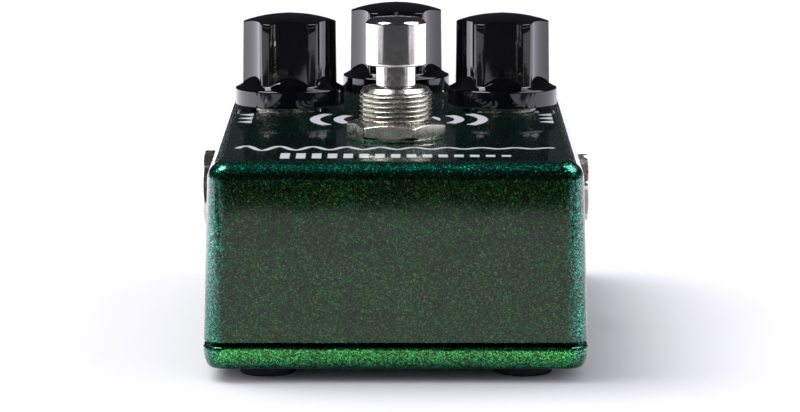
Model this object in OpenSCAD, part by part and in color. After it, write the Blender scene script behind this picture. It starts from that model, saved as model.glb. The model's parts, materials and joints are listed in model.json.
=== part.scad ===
// Compact guitar effects pedal with three knobs, a footswitch and side jacks.
// Origin: on the floor under the middle of the box. +Z up, footswitch end towards -Y.

/* [Enclosure] */
// Width of the die-cast body at its lower rim
case_w = 60.5; // [60:0.5:64]
// Length of the body, footswitch end to far end
case_l = 112; // [112:0.5:120]
// Height from the underside of the cover to the top face
case_h = 32.7; // [32.5:0.1:36]
// Thickness of the side walls and of the top
wall_t = 2.3; // [2:0.1:2.5]
// Radius of the four upright corners
corner_r = 3.6; // [3.2:0.1:4]
// Radius of the rounded edge round the top face
top_fillet = 2.9; // [1.5:0.1:3]
// How much each side leans in from rim to top
draft = 0.65; // [0.3:0.05:0.7]

/* [Bottom cover] */
// Visible height of the cover's edge
cover_edge_h = 3.65; // [3.2:0.05:4.2]
// Dark gap between the cover's edge and the body
seam_gap = 0.5; // [0.3:0.1:0.7]
// How far the cover's rounded edge turns in at the bottom
cover_round = 1.35; // [0.8:0.05:2.2]
// Thickness of the cover's plate
cover_plate_t = 2; // [1.6:0.1:2.2]

/* [Feet] */
// Diameter of a rubber foot
foot_d = 9; // [8:0.5:9]
// Height of a rubber foot
foot_h = 2.1; // [1.5:0.1:3]

/* [Footswitch] */
// Distance of the footswitch from the centre, towards the near end
switch_y = -23.3; // [-23.5:0.1:-22]
// Outer diameter of the threaded bushing
bushing_d = 11.9; // [11.5:0.1:12]
// Height of the bushing above the top face
bushing_top = 8.45; // [7.5:0.05:9]
// Diameter of the push cap
cap_d = 10; // [9:0.5:11]
// Height of the cap's lower edge above the top face
cap_low = 12; // [11.8:0.1:13]
// Height of the cap's upper rim above the top face
cap_high = 18.95; // [18:0.05:20]
// Diameter of the plunger's stem
stem_d = 6.44; // [6:0.02:6.6]
// How far the plunger is pressed down
switch_travel = 2.8; // [2:0.1:3]

/* [Knobs] */
// Sideways distance of the two side knobs from the centre
knob_x = 18.4; // [18:0.1:18.6]
// Distance of the side knobs from the centre, towards the far end
side_knob_y = 19.6; // [19.3:0.1:20]
// Distance of the rear knob from the centre
rear_knob_y = 39.6; // [39:0.1:40]
// Diameter of a knob's skirt
skirt_d = 18.86; // [18:0.02:19]
// Diameter of a knob's body at its foot
knob_d = 16.3; // [15.8:0.1:16.4]
// Overall height of a knob
knob_h = 15.65; // [15:0.05:17]
// Depth of the flutes
flute_depth = 1.4; // [0.8:0.05:1.45]

/* [Jacks] */
// Distance of both audio jacks from the centre
jack_y = 3.5; // [3.3:0.1:3.6]
// Depth of the jack axes below the top face
jack_drop = 11.9; // [11.8:0.1:12]
// Diameter of the hole for a 6.35 mm plug
plug_bore_d = 6.4; // [6.4:0.02:6.5]
// Distance of the power jack from the centre
power_y = 33.2; // [33:0.1:33.5]

/* [Hidden] */
$fn = 64;

// Small distances used all over
eps = 0.01;
cut = 1;

// Levels, measured up from the floor
cover_z = foot_h;
rim_z = cover_z + cover_edge_h + seam_gap;
top_z = cover_z + case_h;
ceiling_z = top_z - wall_t;
plate_z = cover_z + cover_plate_t;
axis_z = top_z - jack_drop;
board_t = 1.6;
board_z = axis_z - 6.2 - board_t;
board_top = board_z + board_t;

// Outward position of the side wall's two faces at a height z
function outer_x(z) = case_w / 2 - draft * (z - rim_z) / (top_z - rim_z);
function inner_x(z) = outer_x(z) - wall_t;

// Enclosure details
inner_corner_r = 2;
hull_fn = 48;
fillet_steps = 8;
edge_break = 0.25;
boss_r = 3.2;
screw_r = 1.7;
tapped_r = 1.75;
screw_x = case_w / 2 - 4.35;
screw_y = case_l / 2 - 4.3;
screw_len = 14;
screw_head_r = 3.2;
screw_head_h = 1.6;

// Cover details
cover_w = case_w + 0.2;
cover_l = case_l + 0.2;
ledge_inset = 1.2;
ring_inset = wall_t + 0.25;
ring_t = 0.95;
ring_h = 1.8;
boss_gap_r = boss_r + 0.3;
pad_r = 4.8;

// Feet
foot_x = 20.4;
foot_y = case_l / 2 - 10.1;
foot_edge_r = 0.5;

// Footswitch details
thread_pitch = 0.794;
thread_depth = 0.42;
bushing_r = bushing_d / 2;
bushing_hole_r = bushing_r + 0.1;
stem_gap = 0.05;
washer_t = 0.5;
switch_washer_r = 8.1;
switch_nut_af = 14.3;
switch_nut_t = 2.5;
lock_washer_t = 0.6;
frame_t = 1;
frame_z = ceiling_z - lock_washer_t - frame_t;
switch_w = 17.2;
switch_l = 12.6;
switch_h = 11.9;
switch_z = frame_z - switch_h;
cavity_r = 4.2;
cavity_z = switch_z + 2;
stem_low_z = frame_z - 1.6;
tip_r = 2;
tip_z = cavity_z + switch_travel + 0.6;
dome_r = cap_d / 2 - 0.28;
dome_h = 0.85;
spring_wire_d = 0.6;
spring_r = 3.1;
spring_turns = 6;
spring_steps = 14;
spring_sides = 6;
lug_pitch = [4.8, 5.2];
lug_size = [2.2, 0.8, 4.6];
lug_slot = 0.4;

// Knob and potentiometer details
knob_gap = 0.65;
knob_z = top_z + knob_gap;
knob_top_r = 7.98;
dome_rise = 1.35;
skirt_h = 2.95;
rim_round = 0.25;
flare_r = 6.81;
flare_centre = [12.15, 9.07];
flare_from = 244;
flare_to = 217;
flute_r = 9.2;
flute_count = 6;
flute_low = 3;
nut_room_r = 6.9;
nut_room_h = 2.75;
bushing_room_r = 4;
bushing_room_h = 4;
shaft_r = 3;
shaft_top = 13;
knob_bore_gap = 0.03;
set_screw_angle = 30;
set_screw_r = 1.5;
set_screw_len = 3.6;
set_screw_z = knob_z + 7.5;
pot_r = 8;
pot_h = 8.7;
pot_z = ceiling_z - pot_h - 0.2;
pot_bushing_r = 3.5;
pot_hole_r = 3.75;
pot_bushing_top = top_z + 3.9;
pot_nut_t = 2;
pot_washer_t = 0.5;
wiper_r = 6.2;
wiper_t = 1.6;
pot_wall_t = 1;
shaft_gap = 0.05;

// Jack details
jack_r = 4.5;
jack_hole_r = 4.7;
jack_washer_t = 0.5;
jack_washer_r = 6.1;
jack_washer_x = outer_x(axis_z - jack_washer_r) + 0.01;
jack_nut_x = jack_washer_x + jack_washer_t;
jack_nut_t = 2.15;
jack_end_x = jack_nut_x + 1.95;
jack_front_x = inner_x(top_z) - 0.05;
jack_back_x = 3.2;
jack_w = 14.8;
jack_h = 12.4;
jack_wall_t = 1.4;
jack_front_t = 2;
plug_r = plug_bore_d / 2;
leaf_t = 0.4;
leaf_w = 3;

// Power jack details
power_hole_r = 5;
power_w = 10.2;
power_h = 11;
power_front_x = jack_front_x;
power_len = 13.5;
power_bore_r = 3.15;
power_depth = 10.5;
power_pin_r = 1.05;
power_pin_tip = 1;

// Small controls on the top
small_y = 41.6;
small_x = 19.2;
button_r = 3.1;
button_hole_r = 3.4;
button_top = 2.6;
mod_travel = 1.8;
bezel_hole_r = 3.3;
led_r = 2.5;

// Boards and battery
board_w = 53.4;
board_y = [-9.5, 47.3];
small_board_z = switch_z - 2.4;
small_board_t = 1.2;
battery_len = 46.4;
battery_t = 17.5;
battery_h = 26.5;
battery_x = -26.5;
battery_y = switch_y - switch_l / 2 - 0.8 - battery_t / 2;
foam_t = 1.1;
battery_z = plate_z + foam_t;
battery_mid_z = battery_z + battery_h / 2;
terminal_pitch = 12.95;
terminal_h = 2.1;
lead_r = 0.65;
lead_sides = 8;
lead_steps = 5;

CORNERS = [[-1, -1], [1, -1], [1, 1], [-1, 1]];
KNOBS = [[-knob_x, side_knob_y], [knob_x, side_knob_y], [0, rear_knob_y]];

// ---------------------------------------------------------------- shared shapes

// Plate with upright rounded corners, standing on z = 0
module rounded_plate(w, l, h, r) {
    linear_extrude(h) {
        square([w - 2 * r, l], center = true);
        square([w, l - 2 * r], center = true);
        for (c = CORNERS)
            translate([c[0] * (w / 2 - r), c[1] * (l / 2 - r)])
                circle(r);
    }
}

// Flat ring standing on z = 0
module ring(outer_r, inner_r, h) {
    difference() {
        cylinder(r = outer_r, h = h);
        translate([0, 0, -cut])
            cylinder(r = inner_r, h = h + 2 * cut);
    }
}

// Hexagon nut with a coned upper face; af is the width across its flats
module hex_nut(af, bore_r, h, cone_drop, turn) {
    corner = af / sqrt(3);
    cone_start = corner + 0.06;
    cone_end = bore_r + 0.3;
    difference() {
        rotate([0, 0, turn])
            cylinder(r = corner, h = h, $fn = 6);
        translate([0, 0, -cut])
            cylinder(r = bore_r, h = h + 2 * cut);
        difference() {
            translate([0, 0, h - cone_drop])
                cylinder(r = corner + cut, h = cone_drop + cut);
            translate([0, 0, h - cone_drop])
                cylinder(r1 = cone_start, r2 = cone_end, h = cone_drop);
        }
    }
}

// Places children at each cover screw
module at_screws() {
    for (c = CORNERS)
        translate([c[0] * screw_x, c[1] * screw_y, 0])
            children();
}

// Turns a piece built along +Z so that it points along +X at a jack's place
module along_x(x, y, z) {
    translate([x, y, z])
        rotate([0, 90, 0])
            children();
}

// ---------------------------------------------------------------- enclosure and cover

module case_outer() {
    fillet = [for (i = [0:fillet_steps])
        let (a = 90 * i / fillet_steps)
        [corner_r - top_fillet + top_fillet * cos(a), top_fillet * sin(a)]];
    hull() {
        for (c = CORNERS) {
            translate([c[0] * (case_w / 2 - corner_r), c[1] * (case_l / 2 - corner_r), rim_z])
                cylinder(r1 = corner_r - edge_break, r2 = corner_r, h = edge_break, $fn = hull_fn);
            translate([c[0] * (case_w / 2 - draft - corner_r),
                    c[1] * (case_l / 2 - draft - corner_r), top_z - top_fillet])
                rotate_extrude($fn = hull_fn)
                    polygon(concat([[0, 0]], fillet));
        }
    }
}

module case_cavity() {
    side = wall_t + inner_corner_r;
    hull() {
        for (c = CORNERS) {
            translate([c[0] * (case_w / 2 - side), c[1] * (case_l / 2 - side), rim_z - cut])
                cylinder(r = inner_corner_r, h = cut, $fn = hull_fn);
            translate([c[0] * (case_w / 2 - draft - side),
                    c[1] * (case_l / 2 - draft - side), ceiling_z - eps])
                cylinder(r = inner_corner_r, h = eps, $fn = hull_fn);
        }
    }
}

// Die-cast body with its four screw bosses and all the holes in top and sides
module enclosure() {
    hole_h = wall_t + 2 * cut;
    color([0.03, 0.27, 0.16])
    difference() {
        union() {
            difference() {
                case_outer();
                case_cavity();
            }
            at_screws()
                translate([0, 0, rim_z])
                    cylinder(r = boss_r, h = ceiling_z - rim_z + eps);
        }
        at_screws()
            translate([0, 0, rim_z - cut])
                cylinder(r = tapped_r, h = screw_len);
        translate([0, switch_y, ceiling_z - cut])
            cylinder(r = bushing_hole_r, h = hole_h);
        for (k = KNOBS)
            translate([k[0], k[1], ceiling_z - cut])
                cylinder(r = pot_hole_r, h = hole_h);
        translate([-small_x, small_y, ceiling_z - cut])
            cylinder(r = button_hole_r, h = hole_h);
        translate([small_x, small_y, ceiling_z - cut])
            cylinder(r = bezel_hole_r, h = hole_h);
        along_x(-case_w / 2 - cut, jack_y, axis_z)
            cylinder(r = jack_hole_r, h = case_w + 2 * cut);
        along_x(case_w / 2 - wall_t - 2 * cut, power_y, axis_z)
            cylinder(r = power_hole_r, h = wall_t + 3 * cut);
    }
}

module cover_blank() {
    round_h = cover_edge_h - edge_break;
    fillet = [for (i = [0:fillet_steps])
        let (a = -90 + 90 * i / fillet_steps)
        [corner_r - cover_round + cover_round * cos(a), round_h + round_h * sin(a)]];
    hull() {
        for (c = CORNERS)
            translate([c[0] * (cover_w / 2 - corner_r), c[1] * (cover_l / 2 - corner_r), cover_z])
                rotate_extrude($fn = hull_fn)
                    polygon(concat([[0, 0]], fillet, [
                        [corner_r - edge_break, cover_edge_h],
                        [0, cover_edge_h]]));
    }
}

// Cover: rounded plate, a ledge that meets the body's rim and a ring that centres it
module bottom_cover() {
    ledge_w = case_w - 2 * ledge_inset;
    ledge_l = case_l - 2 * ledge_inset;
    ring_w = case_w - 2 * ring_inset;
    ring_l = case_l - 2 * ring_inset;
    pocket_w = ring_w - 2 * ring_t;
    pocket_l = ring_l - 2 * ring_t;
    color([0.04, 0.36, 0.18])
    difference() {
        union() {
            cover_blank();
            translate([0, 0, cover_z + cover_edge_h - eps])
                rounded_plate(ledge_w, ledge_l, seam_gap + eps, corner_r - ledge_inset);
            difference() {
                translate([0, 0, rim_z - eps])
                    rounded_plate(ring_w, ring_l, ring_h + eps, inner_corner_r - 0.2);
                at_screws()
                    translate([0, 0, rim_z])
                        cylinder(r = boss_gap_r, h = ring_h + cut);
            }
        }
        difference() {
            translate([0, 0, plate_z])
                rounded_plate(pocket_w, pocket_l, ring_h + rim_z, inner_corner_r - 0.7);
            at_screws()
                translate([0, 0, plate_z - cut])
                    cylinder(r = pad_r, h = rim_z - plate_z + cut);
        }
        at_screws() {
            translate([0, 0, cover_z - cut])
                cylinder(r = tapped_r + 0.2, h = rim_z);
            translate([0, 0, cover_z - eps])
                cylinder(r1 = screw_head_r + 0.15, r2 = tapped_r + 0.15, h = screw_head_h);
        }
    }
}

// Countersunk cross-recess screws
module cover_screws() {
    recess_w = 0.9;
    recess_l = 3.6;
    recess_h = 1.1;
    color([0.75, 0.75, 0.76])
    at_screws()
        translate([0, 0, cover_z + 0.1])
            difference() {
                union() {
                    cylinder(r1 = screw_head_r, r2 = screw_r, h = screw_head_h);
                    cylinder(r = screw_r, h = screw_len - edge_break);
                    translate([0, 0, screw_len - edge_break])
                        cylinder(r1 = screw_r, r2 = screw_r - edge_break, h = edge_break);
                }
                for (turn = [45, 135])
                    rotate([0, 0, turn])
                        translate([-recess_l / 2, -recess_w / 2, -cut])
                            cube([recess_l, recess_w, recess_h + cut]);
            }
}

module rubber_feet() {
    r = foot_d / 2;
    lower = [for (i = [0:4])
        let (a = -90 + 90 * i / 4)
        [r - foot_edge_r + foot_edge_r * cos(a), foot_edge_r + foot_edge_r * sin(a)]];
    color([0.08, 0.08, 0.08])
    for (c = CORNERS)
        translate([c[0] * foot_x, c[1] * foot_y, 0])
            rotate_extrude()
                polygon(concat([[0, 0]], lower, [[r, foot_h], [0, foot_h]]));
}

// ---------------------------------------------------------------- footswitch

// Plastic case with the room for spring and plunger tip
module footswitch_case() {
    color([0.1, 0.2, 0.55])
    translate([0, switch_y, 0])
        difference() {
            translate([0, 0, switch_z])
                rounded_plate(switch_w, switch_l, switch_h, 0.6);
            translate([0, 0, cavity_z])
                cylinder(r = cavity_r, h = switch_h);
        }
}

// Threaded bushing on its square frame
module footswitch_bushing() {
    thread_low = ceiling_z - lock_washer_t + 0.4;
    thread_high = top_z + bushing_top - 1.2;
    turns = floor((thread_high - thread_low) / thread_pitch);
    crest_start = thread_high - turns * thread_pitch;
    ridges = [for (i = [0:turns - 1])
        let (z = crest_start + i * thread_pitch)
        each [[bushing_r - thread_depth, z],
            [bushing_r, z + 0.4 * thread_pitch],
            [bushing_r, z + 0.55 * thread_pitch],
            [bushing_r - thread_depth, z + 0.95 * thread_pitch]]];
    color([0.8, 0.8, 0.78])
    translate([0, switch_y, 0])
        difference() {
            union() {
                rotate_extrude()
                    polygon(concat([[0, frame_z], [bushing_r - thread_depth, frame_z]], ridges, [
                        [bushing_r - thread_depth, thread_high],
                        [bushing_r - 0.05, thread_high + 0.25],
                        [bushing_r - 0.95, top_z + bushing_top],
                        [0, top_z + bushing_top]]));
                translate([0, 0, frame_z])
                    rounded_plate(switch_w, switch_l, frame_t, 0.6);
            }
            translate([0, 0, frame_z - cut])
                cylinder(r = stem_d / 2 + stem_gap, h = bushing_top + top_z);
        }
}

module footswitch_nut() {
    color([0.78, 0.77, 0.74])
    translate([0, switch_y, top_z + washer_t])
        hex_nut(switch_nut_af, bushing_r + 0.05, switch_nut_t, 0.8, -10);
}

module footswitch_washer() {
    color([0.82, 0.82, 0.8])
    translate([0, switch_y, top_z])
        ring(switch_washer_r, bushing_r + 0.15, washer_t);
}

// Toothed lock washer between the switch frame and the inside of the top
module footswitch_lock_washer() {
    teeth = 12;
    color([0.6, 0.6, 0.62])
    translate([0, switch_y, ceiling_z - lock_washer_t])
        difference() {
            cylinder(r = 8.4, h = lock_washer_t);
            translate([0, 0, -cut])
                cylinder(r = bushing_r + 0.15, h = 3 * cut);
            for (i = [0:teeth - 1])
                rotate([0, 0, (i + 0.5) * 360 / teeth])
                    translate([7.2, -0.5, -cut])
                        cube([2, 1, 3 * cut]);
        }
}

// Places children at each solder lug
module at_lugs() {
    for (ix = [-1:1], iy = [-0.5, 0.5])
        translate([ix * lug_pitch[0], switch_y + iy * lug_pitch[1], 0])
            children();
}

module footswitch_lugs() {
    color([0.85, 0.75, 0.45])
    at_lugs()
        translate([-lug_size[0] / 2, -lug_size[1] / 2, switch_z - lug_size[2]])
            cube(lug_size);
}

// Turned metal plunger: cap, stem and the tip that works the switch
module footswitch_plunger() {
    cap_r = cap_d / 2;
    dome = [for (i = [0:6])
        let (t = i / 6)
        [dome_r * (1 - t), top_z + cap_high + dome_h * (1 - (1 - t) * (1 - t))]];
    color([0.84, 0.83, 0.8])
    translate([0, switch_y, 0])
        rotate_extrude()
            polygon(concat([
                [0, tip_z],
                [tip_r, tip_z],
                [tip_r, stem_low_z],
                [stem_d / 2, stem_low_z],
                [stem_d / 2, top_z + cap_low],
                [cap_r - 0.3, top_z + cap_low],
                [cap_r, top_z + cap_low + 0.3],
                [cap_r, top_z + cap_high - 0.2],
                [cap_r - 0.15, top_z + cap_high]], dome));
}

// Compression spring wound round the plunger's tip
module footswitch_spring() {
    low = cavity_z + spring_wire_d / 2 + 0.05;
    high = stem_low_z - spring_wire_d / 2 - 0.05;
    count = spring_turns * spring_steps;
    wire = spring_wire_d / 2;
    points = [for (i = [0:count])
        let (a = 360 * i / spring_steps, z = low + (high - low) * i / count)
        for (s = [0:spring_sides - 1])
            let (b = 360 * s / spring_sides, r = spring_r + wire * cos(b))
            [r * cos(a), r * sin(a), z + wire * sin(b)]];
    sides = [for (i = [0:count - 1], s = [0:spring_sides - 1])
        let (n = (s + 1) % spring_sides, p = i * spring_sides, q = p + spring_sides)
        each [[p + s, q + s, q + n], [p + s, q + n, p + n]]];
    first = [for (s = [0:spring_sides - 1]) s];
    last = [for (s = [spring_sides - 1:-1:0]) count * spring_sides + s];
    color([0.7, 0.7, 0.72])
    translate([0, switch_y, 0])
        polyhedron(points = points, faces = concat(sides, [first, last]));
}

// Small board that the lugs are soldered to
module footswitch_board() {
    color([0.05, 0.3, 0.15])
    difference() {
        translate([0, switch_y + 0.6, small_board_z])
            rounded_plate(19, 14, small_board_t, 0.8);
        at_lugs()
            translate([-lug_size[0] / 2 - lug_slot / 2, -lug_size[1] / 2 - lug_slot / 2, small_board_z - cut])
                cube([lug_size[0] + lug_slot, lug_size[1] + lug_slot, 3 * cut]);
    }
}

// Flat ribbon that humps from the small board to the main board
module footswitch_ribbon() {
    ribbon_w = 8;
    ribbon_t = 0.9;
    rise = 3;
    steps = 12;
    from_y = switch_y + 6.6;
    to_y = board_y[0] + 1.6;
    low_z = max(small_board_z + small_board_t, board_top);
    mid_y = (from_y + to_y) / 2;
    span = (to_y - from_y) / 2;
    outer = [for (i = [0:steps])
        let (a = 180 - 180 * i / steps)
        [mid_y + (span + ribbon_t / 2) * cos(a), low_z + (rise + ribbon_t / 2) * sin(a)]];
    inner = [for (i = [0:steps])
        let (a = 180 * i / steps)
        [mid_y + (span - ribbon_t / 2) * cos(a), low_z + (rise - ribbon_t / 2) * sin(a)]];
    color([0.55, 0.55, 0.58])
    translate([-ribbon_w / 2, 0, 0])
        rotate([90, 0, 90])
            linear_extrude(ribbon_w)
                polygon(concat(outer,
                    [[to_y + ribbon_t / 2, board_top], [to_y - ribbon_t / 2, board_top]], inner,
                    [[from_y + ribbon_t / 2, small_board_z + small_board_t],
                        [from_y - ribbon_t / 2, small_board_z + small_board_t]]));
}

// ---------------------------------------------------------------- knobs and potentiometers

// Fluted knob on its skirt, its pointer side towards +Y
module knob(place) {
    skirt_r = skirt_d / 2;
    body_r = knob_d / 2;
    sphere_r = (knob_top_r * knob_top_r + dome_rise * dome_rise) / (2 * dome_rise);
    flare = [for (i = [0:8])
        let (a = flare_from + (flare_to - flare_from) * i / 8)
        [flare_centre[0] + flare_r * cos(a), flare_centre[1] + flare_r * sin(a)]];
    color([0.05, 0.05, 0.06])
    translate([place[0], place[1], knob_z])
        difference() {
            union() {
                intersection() {
                    difference() {
                        cylinder(r1 = body_r, r2 = knob_top_r, h = knob_h);
                        for (i = [0:flute_count - 1])
                            rotate([0, 0, 90 + i * 360 / flute_count])
                                translate([body_r + flute_r - flute_depth, 0, flute_low])
                                    cylinder(r = flute_r, h = knob_h);
                    }
                    translate([0, 0, knob_h - sphere_r])
                        sphere(r = sphere_r, $fn = 128);
                }
                rotate_extrude()
                    polygon(concat([
                        [0, 0],
                        [skirt_r - 0.15, 0],
                        [skirt_r, 0.15],
                        [skirt_r, skirt_h - rim_round],
                        [skirt_r - rim_round, skirt_h]], flare,
                        [[0, flare[8][1]]]));
            }
            translate([0, 0, -cut])
                cylinder(r = nut_room_r, h = nut_room_h + cut);
            cylinder(r = bushing_room_r, h = bushing_room_h);
            cylinder(r = shaft_r + knob_bore_gap, h = shaft_top);
            translate([0, 0, set_screw_z - knob_z])
                rotate([0, 90, set_screw_angle])
                    cylinder(r = set_screw_r + 0.05, h = knob_d);
        }
}

// Headless screw with a hexagon socket, pinching the shaft
module set_screw(place) {
    socket_r = 0.75;
    color([0.5, 0.5, 0.52])
    translate([place[0], place[1], set_screw_z])
        rotate([0, 90, set_screw_angle])
            translate([0, 0, shaft_r + 0.05])
                difference() {
                    cylinder(r = set_screw_r, h = set_screw_len);
                    translate([0, 0, set_screw_len - 1.6])
                        cylinder(r = socket_r, h = 1.6 + cut, $fn = 6);
                }
}

// Potentiometer shaft with its wiper disc
module pot_shaft(place) {
    wiper_z = pot_z + pot_wall_t + 1.6;
    color([0.78, 0.78, 0.8])
    translate([place[0], place[1], 0]) {
        translate([0, 0, wiper_z])
            cylinder(r = wiper_r, h = wiper_t);
        translate([0, 0, pot_z + pot_wall_t + 0.4])
            cylinder(r = shaft_r, h = knob_z + shaft_top - 0.3 - pot_z - pot_wall_t - 0.4);
    }
}

// Potentiometer can with its threaded bushing
module pot_housing(place) {
    color([0.66, 0.66, 0.68])
    translate([place[0], place[1], 0])
        difference() {
            union() {
                translate([0, 0, pot_z])
                    cylinder(r = pot_r, h = pot_h);
                translate([0, 0, pot_z + pot_h - eps])
                    cylinder(r = pot_bushing_r, h = pot_bushing_top - pot_z - pot_h + eps);
            }
            translate([0, 0, pot_z + pot_wall_t])
                cylinder(r = pot_r - pot_wall_t, h = pot_h - 2.5 * pot_wall_t);
            translate([0, 0, pot_z + pot_wall_t])
                cylinder(r = shaft_r + shaft_gap, h = pot_bushing_top);
        }
}

module pot_nuts() {
    color([0.78, 0.78, 0.76])
    for (k = KNOBS)
        translate([k[0], k[1], top_z + pot_washer_t])
            hex_nut(10, pot_bushing_r + 0.05, pot_nut_t, 0.4, 12);
}

module pot_washers() {
    color([0.8, 0.8, 0.8])
    for (k = KNOBS)
        translate([k[0], k[1], top_z])
            ring(5.8, pot_bushing_r + 0.15, pot_washer_t);
}

// Three legs under each potentiometer, standing on the main board
module pot_terminals() {
    leg = [1, 0.6];
    pitch = 5;
    color([0.8, 0.78, 0.7])
    for (k = KNOBS, i = [-1:1])
        translate([k[0] + i * pitch - leg[0] / 2, k[1] - 5.5, board_top])
            cube([leg[0], leg[1], pot_z - board_top]);
}

// ---------------------------------------------------------------- audio jacks (built on the +X side)

// Box-shaped body; the plug runs in along its middle
module jack_body() {
    len = jack_front_x - jack_back_x;
    room_w = jack_w - 2 * jack_wall_t;
    room_h = jack_h - 2 * jack_wall_t;
    color([0.07, 0.07, 0.08])
    difference() {
        translate([jack_back_x, jack_y - jack_w / 2, board_top])
            cube([len, jack_w, jack_h]);
        translate([jack_back_x + jack_wall_t, jack_y - room_w / 2, board_top + jack_wall_t])
            cube([len - jack_wall_t - jack_front_t, room_w, room_h]);
        along_x(jack_front_x - jack_front_t - cut, jack_y, axis_z)
            cylinder(r = jack_r + 0.02, h = jack_front_t + 2 * cut);
    }
}

// Threaded metal sleeve that the plug goes through
module jack_sleeve() {
    pitch = 0.75;
    depth = 0.38;
    back = jack_front_x - jack_front_t + 0.1;
    start = jack_front_x + 0.2;
    turns = floor((jack_end_x - 0.4 - start) / pitch);
    ridges = [for (i = [0:turns - 1])
        let (x = start + i * pitch)
        each [[jack_r - depth, x], [jack_r, x + 0.4 * pitch],
            [jack_r, x + 0.55 * pitch], [jack_r - depth, x + 0.95 * pitch]]];
    color([0.8, 0.79, 0.76])
    along_x(0, jack_y, axis_z)
        rotate_extrude()
            polygon(concat([[plug_r, back], [jack_r, back], [jack_r, start - 0.1]], ridges,
                [[jack_r - depth, jack_end_x], [plug_r, jack_end_x]]));
}

// One nut; turn is where its corners point
module jack_nut(turn) {
    color([0.78, 0.77, 0.74])
    along_x(jack_nut_x, jack_y, axis_z)
        hex_nut(11, jack_r + 0.05, jack_nut_t, 0.35, turn);
}

module jack_washer() {
    color([0.82, 0.82, 0.8])
    along_x(jack_washer_x, jack_y, axis_z)
        ring(jack_washer_r, jack_r + 0.15, jack_washer_t);
}

// Tip leaf over the plug's path and sleeve leaf under it, with their board pins
module jack_contacts() {
    near = jack_front_x - jack_front_t - 1.5;
    far = jack_back_x + jack_wall_t + 1;
    upper = axis_z + plug_r + 0.9;
    lower = axis_z - plug_r - 0.9;
    touch = plug_r + 0.1;
    color([0.85, 0.7, 0.4])
    translate([0, jack_y + leaf_w / 2, 0])
        rotate([90, 0, 0])
            linear_extrude(leaf_w) {
                polygon([[far, upper], [far + 2, upper], [far + 4, axis_z + touch],
                    [far + 6, upper], [near, upper], [near, upper + leaf_t],
                    [far, upper + leaf_t]]);
                polygon([[near, lower], [near - 2, lower], [near - 4, axis_z - touch],
                    [near - 6, lower], [far + 8, lower], [far + 8, lower - leaf_t],
                    [near, lower - leaf_t]]);
            }
}

module jack_nuts() {
    jack_nut(19);
    mirror([1, 0, 0])
        jack_nut(50);
}

module jack_washers() {
    jack_washer();
    mirror([1, 0, 0])
        jack_washer();
}

// ---------------------------------------------------------------- power jack

module power_jack_body() {
    back = power_front_x - power_len;
    color([0.06, 0.06, 0.07])
    difference() {
        translate([back, power_y - power_w / 2, board_top])
            cube([power_len, power_w, power_h]);
        along_x(power_front_x - power_depth, power_y, axis_z)
            cylinder(r = power_bore_r, h = power_depth + cut);
    }
}

// Centre pin with a rounded tip
module power_jack_pin() {
    len = power_depth - power_pin_tip;
    color([0.82, 0.82, 0.8])
    along_x(power_front_x - power_depth, power_y, axis_z) {
        cylinder(r = power_pin_r, h = len - 0.4);
        translate([0, 0, len - 0.4])
            cylinder(r1 = power_pin_r, r2 = power_pin_r - 0.4, h = 0.4);
    }
}

// Leaf at the side of the socket that touches the plug's barrel
module power_jack_spring() {
    color([0.85, 0.7, 0.4])
    translate([power_front_x - power_depth + 1, power_y - 1, axis_z - power_bore_r + 0.25])
        cube([power_depth - 3, 2, 0.3]);
}

// ---------------------------------------------------------------- boards and parts on them

module main_board() {
    len = board_y[1] - board_y[0];
    color([0.03, 0.28, 0.14])
    translate([0, (board_y[0] + board_y[1]) / 2, board_z])
        rounded_plate(board_w, len, board_t, 1.5);
}

// Dual in-line chips under the board
module chips() {
    places = [[-12, 8, 0], [0, 8, 0], [12, 8, 0], [-10, 24, 90], [6, 26, 0]];
    color([0.09, 0.09, 0.1])
    for (p = places)
        translate([p[0], p[1], board_z - 3.9])
            rotate([0, 0, p[2]]) {
                difference() {
                    translate([-3.2, -4.9, 0])
                        cube([6.4, 9.8, 3.3]);
                    translate([0, -4.9, -cut])
                        cylinder(r = 0.8, h = 1.4);
                }
                for (side = [-1, 1], i = [0:3])
                    translate([side * 3.4 - 0.2, -3.81 + i * 2.54 - 0.25, 1.6])
                        cube([0.4, 0.5, 2.3]);
            }
}

module electrolytic_capacitors() {
    places = [[-21, 22], [-21, 31], [-13, 38], [20, 24], [20, 33], [20, 42], [2, 41]];
    color([0.1, 0.12, 0.25])
    for (p = places)
        translate([p[0], p[1], board_z - 7.5]) {
            cylinder(r = 2.5, h = 7.1);
            translate([0, 0, 7.1])
                cylinder(r = 2.1, h = 0.4);
        }
}

module film_capacitors() {
    places = [[-20, 0], [-12, -4], [12, -4], [20, 0], [11, 34], [11, 42]];
    color([0.65, 0.15, 0.1])
    for (p = places)
        translate([p[0] - 3.6, p[1] - 1.25, board_z - 6.5])
            cube([7.2, 2.5, 6.5]);
}

TRIMMERS = [[-4, 33], [-21, 41]];
trimmer_h = 4.4;

module trimmer_bodies() {
    color([0.12, 0.3, 0.7])
    for (t = TRIMMERS)
        translate([t[0], t[1], board_z - trimmer_h])
            difference() {
                rounded_plate(6.6, 6.6, trimmer_h, 0.5);
                translate([0, 0, -cut])
                    cylinder(r = 2.5, h = 1.2 + cut);
            }
}

// Slotted rotor that is turned with a screwdriver from below
module trimmer_rotor(place) {
    color([0.9, 0.88, 0.8])
    translate([place[0], place[1], board_z - trimmer_h - 0.2])
        difference() {
            cylinder(r = 2.2, h = 1.35);
            translate([-1.7, -0.3, -cut])
                cube([3.4, 0.6, cut + 0.7]);
        }
}

// ---------------------------------------------------------------- small controls

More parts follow.
